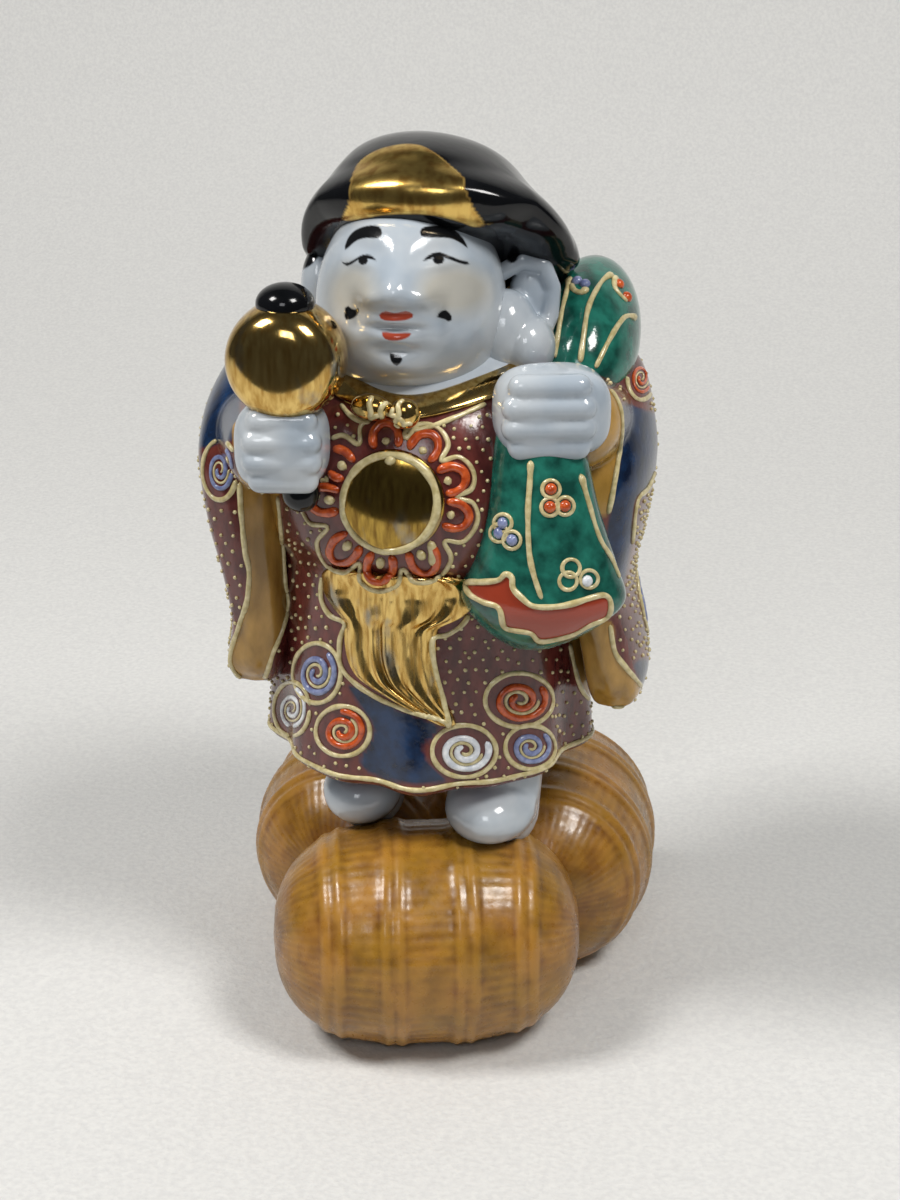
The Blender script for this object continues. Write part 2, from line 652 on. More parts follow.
def makeSleeves(material):
    pieces = []
    for side in ("right", "left"):
        sleeve = skinGrid(slices(sleeveSettings[side], sleeveMouth), 200, 180)
        forearm = skinGrid(rod(*sleeveSettings["forearms"][side]), 80, 40)
        pieces.append(castPiece(side + "_sleeve", [sleeve, forearm], material, 0.7, 4))
    return pieces


# Sash
sashSettings = {
    "flutes": 5.6, "fluteDepth": 0.55, "depth": 3, "fullWidth": 9,
    "lobe": 1.3, "lobePlace": 0.84, "lobeWidth": 0.16, "lobeHeight": 63, "lobeTall": 4.5,
    "lobeGroove": 0.9, "groovePlace": 0.6, "grooveWidth": 0.1, "grooveHeight": 62, "grooveTall": 6,
    "rows": [
        (70, -1, 0, 0), (69.6, -1, 11, 1.4), (67, -1, 16.8, 2.2), (63, -1.2, 17, 2.6),
        (59.5, -1.6, 14.5, 2.6), (57, -2.8, 10.8, 2.2), (52, -2.8, 10.3, 2.2), (45, -1.2, 9.4, 2.2),
        (41, 2.8, 6.3, 2.1), (38, 6.6, 3.9, 1.9), (35, 10, 1.6, 1.5), (34.3, 10.8, 0, 0),
    ],
}


def sashForm(angle, t):
    # an apron on the robe's front with flutes cos(pi n across)
    s = sashSettings
    rows = s["rows"]
    z = rows[0][0] + (rows[-1][0] - rows[0][0]) * (1 - np.cos(np.pi * t)) / 2 + 0 * angle
    centreX, halfWidth, lift = np.moveaxis(smoothRows(rows[::-1])(z), -1, 0)
    halfWidth, lift = np.maximum(halfWidth, 0), np.maximum(lift, 0)
    across = signedPower(np.cos(angle), 0.8)
    x = centreX + halfWidth * across
    body = np.clip(halfWidth / s["fullWidth"], 0, 1)
    gathered = across + 0.05 * np.sin(7 * across + 1) + 0.02 * np.sin(z / 4)
    unevenness = 0.75 + 0.35 * np.sin(5.3 * across + 2)
    flute = s["fluteDepth"] * body * unevenness * np.cos(np.pi * s["flutes"] * gathered)
    outer = np.abs(across)
    lobe = s["lobe"] * hump(outer - s["lobePlace"], s["lobeWidth"])
    lobe = lobe * hump(z - s["lobeHeight"], s["lobeTall"])
    groove = s["lobeGroove"] * hump(outer - s["groovePlace"], s["grooveWidth"])
    groove = groove * hump(z - s["grooveHeight"], s["grooveTall"])
    raised = (lift + flute + lobe - groove) * np.abs(np.sin(angle)) ** 0.5
    proud = np.where(np.sin(angle) < 0, raised, -s["depth"] * body * np.sin(angle))
    return np.stack([x, robeFront(x, z) - proud, z], -1)


# Head and ears
headSettings = {
    "centre": (-2, -13, 122.5), "radii": (20, 21.5, 23), "faceMiddle": -0.7, "jowls": 0.3,
    "poleEase": 0.05, "frontEase": 0.6,  # how far the points are drawn to the face
    "sharpness": 3,  # how fast the relief sets in round the sides
    # beside the face's middle, z, half width, half height, how far out
    "middleRelief": [
        (0, 133.5, 3.8, 5.5, 1.7), (0, 130, 5.4, 4.3, 4.5), (0, 125.4, 4, 1.3, -0.4), (0, 140, 9, 5, 0.8),
        (0, 122, 7.5, 5, 1.4), (0, 124.2, 5, 1.4, 0.9), (0, 122.3, 5, 0.8, -1.1),
        (0, 120.1, 4.2, 1.5, 1.0), (0, 117.4, 4.5, 1.2, -0.8), (0, 113.5, 6, 4, 2.2),
        (0, 107.3, 10, 1.2, -0.6),
    ],
    "pairedRelief": [
        (6, 128.8, 3.1, 2.7, 2.4), (9, 140, 6, 2.6, 0.3), (8.5, 136.4, 5.5, 2.4, -0.7),
        (8, 134.4, 4.2, 1.3, 0.8), (12.5, 121.5, 7.5, 7.5, 3), (8.2, 124.3, 1.6, 3.4, -1),
    ],
}


def headForm(angle, t):
    # a ball with soft humps pushed out towards the viewer
    s = headSettings
    t = t + s["poleEase"] * np.sin(turn * t)
    facing = angle - s["frontEase"] * np.cos(angle)
    level, up = np.sin(np.pi * t), np.cos(np.pi * t)
    jowls = level ** (1 - s["jowls"] * ramp(-up, 0.0, 0.6))
    x = s["centre"][0] + s["radii"][0] * jowls * np.cos(facing)
    y = s["centre"][1] + s["radii"][1] * level * np.sin(facing)
    z = s["centre"][2] + s["radii"][2] * up + 0 * x
    relief = s["middleRelief"] + s["pairedRelief"] + [(-row[0], *row[1:]) for row in s["pairedRelief"]]
    out = sum(proud * hump(x - s["faceMiddle"] - aside, wide) * hump(z - height, tall)
              for aside, height, wide, tall, proud in relief)
    return np.stack([x, y - out * np.clip(-s["sharpness"] * np.sin(facing) * level, 0, 1), z], -1)


earSettings = {
    "lumps": [  # the left ear's plate, lobe and root, and the right ear's plate
        ((22.5, -3.5, 121.5), (5, 5.5, 9.8)), ((22.8, -12, 113), (6, 7, 7.2)),
        ((18, -11, 115), (7, 8, 10)), ((-24, -3, 122), (4.2, 6, 9)),
    ],
    "rim": [
        (16, -8, 127.5), (21, -8, 130.6), (25.3, -7, 129.5),
        (27.2, -6.5, 124.5), (27, -8, 119), (25.5, -10, 115),
    ],
    "rimRadius": 1.9,
}


def makeHead(material):
    # the rim is a chain of rods round the left ear's shell
    s = earSettings
    head = gridPiece("head", [skinGrid(headForm, 290, 250)], material)
    ears = [skinGrid(lump(*form), 80, 60) for form in s["lumps"]]
    for start, end in zip(s["rim"], s["rim"][1:]):
        ears.append(skinGrid(rod(start, end, s["rimRadius"]), 32, 24))
    return head, castPiece("ears", ears, material, 0.4, 10)


# Cap
capSettings = {
    "centre": (1.4, -1, 132.25), "radii": (29.3, 29, 22.4), "under": 6.5, "tip": 28, "lean": 3.5,
    "browLift": 4.8, "browTrim": 0.55, "templeTrim": 0.42, "templePlace": -0.55, "templeWidth": 0.35,
    "slope": 0.2, "rightSlope": 0.13, "slopePlace": 0.6, "slopeWidth": 0.4, "droop": 0.06,
    "brimRoll": 0.035, "rollPlace": -2.2, "rollWidth": 3.4,
    "brimGroove": 0.04, "groovePlace": 6, "grooveWidth": 4.5, "folds": 13, "foldDepth": 0.03,
}


def capForm(angle, t):
    # a dome tipped back, its rolled edge arched over the brow, its left side sloping down to soft folds
    s = capSettings
    up, level = np.cos(np.pi * t) + 0 * angle, np.sin(np.pi * t) + 0 * angle
    overBrow = np.clip(-2 * np.sin(angle) - 0.3, 0, 1) * level
    leftwards, rightwards = np.clip(np.cos(angle), 0, 1) * level, np.clip(-np.cos(angle), 0, 1) * level
    height = s["radii"][2] * up
    overTemple = hump(np.sin(angle) - s["templePlace"], s["templeWidth"])
    under = s["under"] * (1 - s["browTrim"] * overBrow) * (1 - s["templeTrim"] * overTemple)
    z = np.where(up > 0, height, under * (np.exp(np.minimum(height, 0) / under) - 1))
    roll = s["brimRoll"] * hump(z - s["rollPlace"], s["rollWidth"])
    roll = 1 + overBrow * (roll - s["brimGroove"] * hump(z - s["groovePlace"], s["grooveWidth"]))
    shoulder = hump(up - s["slopePlace"], s["slopeWidth"])
    roll = roll - (rightwards * s["rightSlope"] + leftwards * s["slope"]) * shoulder
    roll = roll + leftwards * s["droop"] * hump(up + 0.1, 0.3)
    roll = roll + s["foldDepth"] * np.cos(s["folds"] * angle) * leftwards * ramp(-up, 0.0, 0.4)
    wall = np.where(up < 0, level ** 0.6, level)
    x = s["radii"][0] * roll * wall * np.cos(angle) - s["lean"] * np.maximum(up, 0) ** 2
    y = s["radii"][1] * roll * wall * np.sin(angle)
    z = z + s["browLift"] * overBrow * hump(up, 0.5)
    tip = np.radians(s["tip"])
    return np.stack([s["centre"][0] + x, s["centre"][1] + y * np.cos(tip) + z * np.sin(tip),
                     s["centre"][2] + z * np.cos(tip) - y * np.sin(tip)], -1)


# Mallet and hands
malletSettings = {
    "centre": (-22.3, -41.5, 116.4), "radius": 12.3, "length": 20,
    "knobRadii": (6, 6, 4.2), "knobSink": 0.8, "handle": ((-21.5, -42, 104), (-19.5, -43.5, 88.5), 4),
}


def malletDrum(angle, t):
    # a short drum on its side, superelliptic rims
    s = malletSettings
    level = np.sin(np.pi * t) ** 0.6
    return np.stack([s["centre"][0] + s["radius"] * level * np.cos(angle),
                     s["centre"][1] - s["length"] / 2 * signedPower(np.cos(np.pi * t), 0.8) + 0 * angle,
                     s["centre"][2] + s["radius"] * level * np.sin(angle)], -1)


def makeMallet(gold, black):
    s = malletSettings
    drum = gridPiece("mallet_drum", [skinGrid(malletDrum, 120, 64)], gold)
    centreX, centreY, centreZ = s["centre"]
    knob = lump((centreX, centreY, centreZ + s["radius"] - s["knobSink"]), s["knobRadii"])
    grips = [skinGrid(knob, 60, 40), skinGrid(rod(*s["handle"]), 48, 50)]
    gridPiece("mallet_knob_and_handle", grips, black)
    return drum


handSettings = {
    "fingerRadius": 2.7, "fingerSpacing": 4.2, "shortening": 0.04, "rounding": 0.35,
    "right": {"centre": (-23.6, -42, 98.5), "radii": (9.6, 8.2, 9.4), "turnZ": 0,
              "fingers": ((-28, -48.5), (-16.7, -47)), "fingerLift": 0},
    "left": {"centre": (30.5, -30.5, 105), "radii": (12, 9.2, 9.3), "turnZ": 20,
             "fingers": ((38, -36.4), (24, -39.4)), "fingerLift": 0.6},
}


def boxy(unit):
    # a ball's reach swollen towards its corners, until the cubes of its three shares add up to one
    return 1 / (np.abs(unit) ** 3).sum(-1) ** (1 / 3)


def makeHands(material):
    # each hand is a boxy fist with a soft ridge for each finger
    s = handSettings
    pieces = []
    for side in ("right", "left"):
        hand = s[side]
        grids = [skinGrid(lump(hand["centre"], hand["radii"], turnZ=hand["turnZ"], shape=boxy), 80, 60)]
        for step in (1.5, 0.5, -0.5, -1.5):
            z = hand["centre"][2] + hand["fingerLift"] + step * s["fingerSpacing"]
            start, end = np.array(hand["fingers"]) + np.array([0, s["rounding"] * step ** 2])
            reach = (end - start) * (0.5 - s["shortening"] * step ** 2)
            middle = (start + end) / 2
            finger = rod((*(middle - reach), z), (*(middle + reach), z), s["fingerRadius"])
            grids.append(skinGrid(finger, 32, 30))
        pieces.append(castPiece(side + "_hand", grids, material, 0.4, 7))
    return pieces


# Feet
footSettings = {
    "feet": ((-13.2, -17.5, 9), (17.1, -21, 10.4)),  # x, y and half width
    "footHeight": 8.5, "footRise": 7.6, "footLength": 1.25, "ankle": (4, 6), "knee": (6, 22), "spread": 1,
}


def makeFeet(material):
    # a rounded foot and a short leg that widens upwards into the robe
    s = footSettings
    grids = []
    for x, y, width in s["feet"]:
        ankle, knee = (x, y + s["ankle"][0], s["ankle"][1]), (x, y + s["knee"][0], s["knee"][1])
        grids.append(skinGrid(rod(ankle, knee, width, width + s["spread"]), 60, 40))
        foot = lump((x, y, s["footHeight"]), (width, width * s["footLength"], s["footRise"]))
        grids.append(skinGrid(foot, 60, 40))
    return castPiece("feet", grids, material, 0.8, 5)


# Sack
sackSettings = {
    "mouth": [
        (104, 28, -33, 0, 0, 0), (103, 28, -33, 7, 5, 6), (97, 28.5, -33, 9.5, 7, 8),
        (84, 29.5, -34, 12, 9, 12), (72, 30, -34, 15.5, 10.5, 12), (66, 29.8, -34, 17.5, 11, 12),
        (61, 29, -34, 14.5, 9.5, 11), (55, 27.6, -33, 7, 6, 8), (53, 27, -33, 0, 0, 0),
    ],
    "neck": (0.53, -0.53, 0.66), "gathers": 9, "gatherDepth": 0.045,
    "shoulder": ((33.5, 6.5, 110.5), (11.5, 23, 14), 25), "throat": ((32, 8, 108), (18, 26, 96), 12, 16),
    "bag": ((12, 29, 82), (31, 24, 34)),
}


def sackGathers(unit):
    # soft folds that run down from the neck and fade out over the bag
    s = sackSettings
    neck = np.array(s["neck"])
    aside = np.cross(neck, (0, 0, 1))
    around = np.arctan2(unit @ np.cross(neck, aside), unit @ aside)
    towards = unit @ neck
    fade = ramp(towards, -0.4, 0.4) * ramp(-towards, -1, -0.9)
    return 1 + s["gatherDepth"] * np.cos(s["gathers"] * around) * fade


def makeSack(material):
    # the mouth hangs in front of the shoulder, the bag goes over it and down the back
    s = sackSettings
    mouth = gridPiece("sack_mouth", [skinGrid(slices(s["mouth"]), 130, 110)], material)
    bag = [skinGrid(lump(*s["shoulder"]), 80, 60), skinGrid(rod(*s["throat"]), 60, 50),
           skinGrid(lump(*s["bag"], shape=sackGathers), 160, 110)]
    return mouth, castPiece("sack_bag", bag, material, 1.0, 8)


# Roundel
roundelSettings = {"centre": (-0.6, 87), "radius": 10.8, "lift": 1, "depth": 3}


def roundelForm(angle, t):
    # a low disc on the belly
    s = roundelSettings
    level, side = np.sin(np.pi * t) ** 0.6, np.cos(np.pi * t)
    x = s["centre"][0] + s["radius"] * level * np.cos(angle)
    z = s["centre"][1] + s["radius"] * level * np.sin(angle)
    proud = np.where(side > 0, s["lift"] * np.abs(side) ** 0.3, s["depth"] * side)
    return np.stack([x, robeFront(x, z) - proud, z], -1)


# Laying slip and enamel on the surfaces
decorSettings = {
    "pixel": 0.2286,  # mm that a pixel of the photograph spans at the figure
    "step": 0.5, "longStep": 0.8, "fineStep": 0.4,  # mm between a trail's points
    "jump": 3.0,  # mm: a gap that ends a trail
    "wrapRadius": 45.0, "wrapReach": 150.0,  # mm: a sheet wrapped round the figure, and its rays' start
    "sides": 8, "rise": 0.38,  # of a trail's section: its sides, and its height as a share of its width
    "wavers": ((2.1, 0.08, 1), (0.9, 0.06, 2.3)),  # mm long, share of the width, shift from trail to trail
    "domeDrop": 105, "domeFoot": 0.4,  # degrees down to a bead's edge, and how deep its foot goes
}


def firstHits(origins, rays, carriers):
    # each ray's nearest hit on any carrier: place, normal and the carrier's number, or -1
    place, normal = np.full(origins.shape, np.nan), np.full(origins.shape, np.nan)
    owner = np.full(len(origins), -1)
    for i, (origin, ray) in enumerate(zip(origins, rays)):
        nearest = 10.0
        for j, carrier in enumerate(carriers):
            hit, facing, _, distance = carrier.ray_cast(Vector(origin), Vector(ray))
            if hit is not None and distance < nearest:
                nearest, place[i], normal[i], owner[i] = distance, hit, facing, j
    return place, normal, owner


def castPixels(pixels, carriers):
    # where the camera's rays through pixels of the photograph meet the figure
    return firstHits(*photoRays(np.asarray(pixels, float)), carriers)


def castInwards(sheet, carriers):
    # where level rays meet the figure; sheet holds millimetres round from +X and drawn heights
    sheet = np.asarray(sheet, float)
    angle = sheet[:, 0] / decorSettings["wrapRadius"]
    outward = np.stack([np.cos(angle), np.sin(angle), 0 * angle], -1)
    origins = outward * decorSettings["wrapReach"] * mm
    origins[:, 2] = (sheet[:, 1] + soleHeight) * mm
    return firstHits(origins, -outward, carriers)


def smoothPath(points, step, closed=False):
    # a Catmull-Rom curve through the points, marked off at equal steps
    points = np.array(points, float)
    ends = (points[-1:], points[:2]) if closed else (points[:1], points[-1:])
    padded = np.vstack([ends[0], points, ends[1]])
    before, start, end, after = padded[:-3], padded[1:-2], padded[2:-1], padded[3:]
    t = np.linspace(0, 1, 16, endpoint=False)[:, None, None]
    curve = 0.5 * (2 * start + (end - before) * t + (2 * before - 5 * start + 4 * end - after) * t ** 2
                   + (3 * start - before - 3 * end + after) * t ** 3)
    curve = curve.transpose(1, 0, 2).reshape(-1, points.shape[1])
    curve = np.vstack([curve, points[:1] if closed else points[-1:]])
    travelled = np.concatenate([[0], np.cumsum(np.linalg.norm(np.diff(curve, axis=0), axis=1))])
    marks = np.linspace(0, travelled[-1], max(int(travelled[-1] / step), 5) + 1)
    marks = marks[:-1] if closed else marks
    return np.stack([np.interp(marks, travelled, column) for column in curve.T], -1)


def trailGrid(place, normal, width, closed, bead, seed):
    # an oval section along the path: rounded ends, a hand's unevenness, a thicker start if beaded
    s = decorSettings
    ends = (place[-1:], place[:1]) if closed else (place[:1], place[-1:])
    reach = np.vstack([ends[0], place, ends[1]])
    place = 0.25 * reach[:-2] + 0.5 * reach[1:-1] + 0.25 * reach[2:]
    across = np.roll(place, -1, axis=0) - np.roll(place, 1, axis=0)
    tangent = across if closed else np.gradient(place, axis=0)
    tangent /= np.linalg.norm(tangent, axis=1, keepdims=True) + 1e-12
    side = np.cross(tangent, normal)
    side /= np.linalg.norm(side, axis=1, keepdims=True) + 1e-12
    up = np.cross(side, tangent)
    travelled = np.concatenate([[0], np.cumsum(np.linalg.norm(np.diff(place, axis=0), axis=1))])
    hand = 1 + sum(share * np.sin(travelled / (length * mm) + shift * seed)
                   for length, share, shift in s["wavers"])
    if not closed:
        left = np.minimum(travelled, travelled[-1] - travelled)
        hand *= np.sqrt(np.maximum(1 - (1 - np.minimum(left / (width * mm), 1)) ** 2, 0))
        hand *= 1 + bead * hump(travelled - width * mm, width * mm)
    phi = np.arange(s["sides"]) / s["sides"] * turn
    size = (hand * width * mm)[:, None, None]
    sideways = np.cos(phi)[None, :, None] / 2 * side[:, None]
    upwards = s["rise"] * (np.sin(phi) + 0.25)[None, :, None] * up[:, None]
    ring = place[:, None] + size * (sideways + upwards)
    if closed:
        return ring.transpose(1, 0, 2).reshape(-1, 3), ringFaces(len(place), s["sides"])
    points = np.vstack([place[:1], ring[1:-1].reshape(-1, 3), place[-1:]])
    return points, skinFaces(s["sides"], len(place) - 2)


def trails(carriers, paths, casting, step, width, closed, bead, wanted):
    # slip trails along paths cast on the wanted carriers, broken where the surface drops away
    grids = []
    for number, path in enumerate(paths):
        place, normal, owner = casting(smoothPath(path, step, closed), carriers)
        place[~np.isin(owner, wanted)] = np.nan
        near = np.linalg.norm(np.diff(place, axis=0), axis=1) < decorSettings["jump"] * mm
        if closed and near.all():
            grids.append(trailGrid(place, normal, width, True, 0, number))
            continue
        for run in np.split(np.arange(len(place)), np.where(~near)[0] + 1):
            if len(run) > 4:
                grids.append(trailGrid(place[run], normal[run], width, False, bead, number))
    return grids


def beads(place, normal, width, height, sides, rings):
    # domes standing on the surface, each a little different in size, their feet under the glaze
    s = decorSettings
    size = np.random.default_rng(5).uniform(0.85, 1.15, (len(place), 1, 1))
    aside = np.cross(np.where(np.abs(normal[:, 2:]) < 0.9, [0, 0, 1], [1, 0, 0]), normal)
    aside /= np.linalg.norm(aside, axis=1, keepdims=True)
    onward = np.cross(normal, aside)
    drop = np.arange(1, rings + 1)[:, None] / rings * np.radians(s["domeDrop"])
    around = np.arange(sides) / sides * turn
    level, radius = np.sin(drop), width / 2 * mm
    east = radius * np.concatenate([[0], (level * np.cos(around)).ravel(), [0]])[None, :, None]
    north = radius * np.concatenate([[0], (level * np.sin(around)).ravel(), [0]])[None, :, None]
    heights = np.concatenate([[1], (np.cos(drop) + 0 * around).ravel(), [-s["domeFoot"]]])
    rise = height * mm * heights[None, :, None]
    offset = east * aside[:, None] + north * onward[:, None] + rise * normal[:, None]
    points = place[:, None] + size * offset
    starts = (np.arange(len(place)) * points.shape[1])[:, None, None]
    faces = [(block[None] + starts).reshape(-1, block.shape[1]) for block in skinFaces(sides, rings)]
    return points.reshape(-1, 3), faces


def within(points, outline):
    # distance inside a closed outline, negative outside
    outline = np.array(outline, float)
    start, end = outline, np.roll(outline, -1, axis=0)
    nearest = np.full(len(points), np.inf)
    crossings = np.zeros(len(points), int)
    for a, b in zip(start, end):
        share = np.clip(((points - a) @ (b - a)) / ((b - a) @ (b - a)), 0, 1)
        nearest = np.minimum(nearest, np.linalg.norm(points - a - share[:, None] * (b - a), axis=1))
        spans = (a[1] > points[:, 1]) != (b[1] > points[:, 1])
        slope = (b[0] - a[0]) / (b[1] - a[1] if b[1] != a[1] else 1)
        crossings += spans & (points[:, 0] < a[0] + slope * (points[:, 1] - a[1]))
    return np.where(crossings % 2 == 1, nearest, -nearest)


def onWrap(points):
    # metres to the wrapped sheet: millimetres round from +X and drawn heights
    return np.stack([roundFrom(points) % turn * decorSettings["wrapRadius"], offBales(points)[:, 2]], -1)


def painted(piece, outlines, edge, wrapped=()):
    # how far each point of a piece lies inside the outlines, seen from the camera or on the wrapped sheet
    points, normals = vectorsOf(piece, "co"), vectorsOf(piece, "normal")
    seen = ramp(normals @ cameraAxes()[0], 0.0, 0.12)
    amount = np.zeros(len(points))
    pixels, sheet = toPhoto(points), onWrap(points)
    for outline in outlines:
        outline = smoothPath(outline, 4, True)
        amount = np.maximum(amount, seen * np.clip(0.5 + within(pixels, outline) / edge, 0, 1))
    for outline in wrapped:
        outline = smoothPath(outline, 1.5, True)
        inside = np.clip(0.5 + within(sheet, outline) / (edge * decorSettings["pixel"]), 0, 1)
        amount = np.maximum(amount, (1 - seen) * inside)
    return amount


# Painted face, in pixels of the photograph
facePaint = {
    "brows": [
        [(345, 250), (347, 240), (354, 231), (366, 226), (378, 226), (382, 232), (379, 238), (366, 238),
         (356, 241)],
        [(420, 232), (424, 227), (439, 225), (452, 228), (462, 237), (468, 248), (459, 242), (448, 238),
         (424, 237)],
    ],
    "lids": [
        [(341, 261), (347, 263), (355, 259), (362, 255), (370, 255), (377, 261), (370, 259), (362, 258),
         (355, 262), (347, 266)],
        [(423, 261), (429, 255), (438, 252), (448, 255), (460, 260), (469, 262), (468, 265), (459, 263),
         (448, 259), (438, 256), (430, 259)],
    ],
    "pupils": [(363, 260.5, 5.2, 4.6), (438.5, 259.5, 6, 5)],
    "tufts": [
        [(345, 308), (349, 306), (353, 310), (359, 308), (358, 314), (352, 319), (345, 319)],
        [(437, 317), (440, 312), (446, 310), (452, 317), (450, 322), (444, 319)],
        [(390, 353), (396, 355), (403, 358), (397, 366), (391, 361)],
    ],
    "lips": [
        [(379, 315), (385, 311), (395, 313), (407, 311), (414, 316), (406, 320), (395, 321), (383, 320)],
        [(382, 332), (395, 333), (411, 333), (407, 338), (395, 341), (385, 339)],
    ],
    "washes": [(352, 292, 24, 27), (455, 290, 36, 25)], "washStrength": 0.4,
    "hair": [
        [(338, 205), (322, 250), (306, 268), (290, 262), (296, 200)],
        [(480, 215), (497, 232), (504, 250), (508, 262), (516, 262), (522, 254), (545, 256), (575, 250),
         (560, 200)],
    ],
}


def oval(centreX, centreY, radiusX, radiusY, count=14):
    angle = np.arange(count) / count * turn
    return np.stack([centreX + radiusX * np.cos(angle), centreY + radiusY * np.sin(angle)], -1)


def paintFace(head, ears):
    # ink and iron red brushed over the glaze, with a thin ochre wash under the eyes; hair on the ears too
    s = facePaint
    hair = painted(head, s["hair"], 1.6)
    pupils = [oval(*pupil) for pupil in s["pupils"]]
    paintOn(head, "ink", np.maximum(hair, painted(head, s["brows"] + s["lids"] + s["tufts"] + pupils, 1.0)))
    paintOn(head, "lips", painted(head, s["lips"], 1.0))
    paintOn(head, "wash", s["washStrength"] * painted(head, [oval(*spot) for spot in s["washes"]], 20))
    paintOn(ears, "ink", painted(ears, s["hair"], 1.6))


# Cap's gold front, in pixels of the photograph
giltPanel = [
    (352, 178), (360, 162), (376, 151), (398, 145), (418, 145), (433, 152), (448, 164), (463, 178),
    (465, 190), (473, 207), (484, 224), (474, 227), (460, 222), (437, 216), (414, 214), (383, 215),
    (366, 218), (343, 220), (349, 202),
]


# Sleeve edges that paint and slip share, in pixels of the photograph
sleeveEdges = {
    "rightLining": [
        (233, 425), (239, 480), (241, 512), (245, 551), (249, 571), (247, 601), (240, 623), (232, 649),
        (231, 664), (240, 677), (259, 684), (266, 675), (273, 653), (282, 630), (289, 602), (285, 584),
        (283, 551), (280, 516),
    ],
    "leftCuff": [(606, 385), (617, 400), (622, 422), (619, 454), (613, 491), (608, 515)],
    "leftHem": [
        (573, 661), (579, 684), (588, 698), (606, 706), (634, 704), (644, 692), (627, 669), (615, 652),
    ],
}


# Painted cloth, in pixels of the photograph, or round the back in millimetres on the wrapped sheet
clothPaint = {
    "blue": [
        [(348, 684), (360, 706), (374, 731), (360, 760), (372, 774), (403, 784), (446, 782), (430, 765),
         (424, 747), (440, 728), (415, 716), (386, 704)],
        [(234, 362), (240, 400), (236, 436), (222, 442), (205, 448), (190, 440), (196, 395), (218, 352)],
        [(623, 404), (637, 407), (676, 424), (676, 446), (662, 468), (648, 488), (635, 502), (631, 545),
         (622, 585), (604, 560), (613, 495), (620, 455), (622, 425)],
        [(634, 664), (650, 662), (652, 700), (645, 702), (644, 690)],
    ],
    "blueBehind": [
        [(44, 62), (56, 70), (70, 66), (74, 50), (64, 38), (50, 42)],
        [(84, 30), (92, 44), (108, 44), (118, 32), (108, 21), (92, 21)],
        [(149, 76), (160, 79), (170, 75), (170, 62), (156, 59)],
        [(262, 92), (272, 100), (280, 88), (276, 72), (264, 74)],
    ],
    "linings": [
        sleeveEdges["rightLining"] + [(276, 470), (262, 425)],
        [(600, 378)] + sleeveEdges["leftCuff"] + [(590, 500), (590, 400)],
        [(566, 622), (568, 638)] + sleeveEdges["leftHem"] + [(610, 621)],
    ],
}


def paintNeck(robe):
    # bare glaze above the collar
    points = vectorsOf(robe, "co")
    paintOn(robe, "skin", ramp(offBales(points)[:, 2] - collarHeight(roundFrom(points)), -0.3, 0.3))


def paintCloth(piece):
    blue = clothPaint["blue"], clothPaint["blueBehind"]
    paintOn(piece, "blue", painted(piece, blue[0], 2.5, blue[1]))
    paintOn(piece, "halo", painted(piece, blue[0], 22, blue[1]))
    paintOn(piece, "lining", painted(piece, clothPaint["linings"], 1.5))


# Swirls: a closed slip outline, a broad coloured spiral and a fine slip spiral between its turns
swirlSettings = {
    "front": [  # pixels: centre, radii, where it starts in degrees, colour
        (317, 673, 24, 30, 60, "lavender"), (292, 709, 18, 27, 80, "white"),
        (343, 731, 27, 25, 100, "orange"), (519, 700, 34, 27, 40, "orange"),
        (464, 751, 32, 26, 30, "white"), (530, 747, 25, 22, 50, "lavender"),
        (220, 470, 17, 30, 90, "lavender"), (641, 378, 14, 22, 70, "orange"),
    ],
    "behind": [  # millimetres on the wrapped sheet, from the side round the back
        (14, 30, 6, 6, 40, "white"), (26, 36, 6.5, 6, 120, "orange"), (38, 29, 6, 5.5, 60, "lavender"),
        (58, 27, 6, 5.5, 200, "orange"), (78, 34, 6, 6, 30, "white"), (128, 30, 6.5, 6, 90, "orange"),
        (144, 36, 6, 6, 10, "lavender"), (20, 72, 6, 6.5, 30, "orange"), (30, 92, 6, 6, 100, "white"),
        (4, 50, 5, 7, 90, "lavender"), (138, 60, 6, 6.5, 80, "orange"), (122, 78, 6, 6, 20, "lavender"),
        (154, 46, 5, 6, 60, "orange"),
    ],
    "outline": 1.15, "band": 1.55, "thread": 0.85,  # mm wide
    "usual": 6,  # mm: the radius that the band's and the thread's widths are meant for
    "start": 0.8, "fall": 0.36, "least": 0.03, "inset": 0.18,  # as shares of the outline's radius
}


def swirlPaths(centreX, centreY, radiusX, radiusY, start, rising):
    # the band's radius falls by a share of the outline's each turn, and the thread runs inset from it
    s = swirlSettings

    def spiral(first, last, inset):
        turns = np.linspace(first, last, int(16 * (last - first)) + 2)
        angle = np.radians(start) + rising * turn * turns
        radius = np.maximum(s["start"] - s["fall"] * turns - inset, s["least"])
        return np.stack([centreX + radiusX * radius * np.cos(angle),
                         centreY - radiusY * radius * np.sin(angle)], -1)
    outline = oval(centreX, centreY, radiusX, radiusY, 16)
    return outline, spiral(0.0, 1.85, 0.0), spiral(0.1, 1.55, s["inset"])


# Roundel's flower: petals round the gold disc
flowerSettings = {
    "centre": (390, 503), "ring": 47,  # pixels
    "petals": (-3.5, 32, 69, 101, 149, 189, 225, 273, 308),  # degrees clockwise from straight up
    # pixels out from the centre and across
    "petal": [(50, -9), (60, -13), (71, -12), (79, -5), (80, 3), (75, 10), (64, 13), (50, 9)],
    "drop": [(54, 0), (67, 0)],
    # thicker runs of slip: on the rim's top in degrees and pixels out, below the rim in pixels
    "rimRun": [(-8, 44), (0, 42), (8, 46)], "lowerRun": [(430, 540), (433, 553), (432, 566)],
    "outlineFar": 89, "outlineNear": 66, "scallop": 0.45,
}


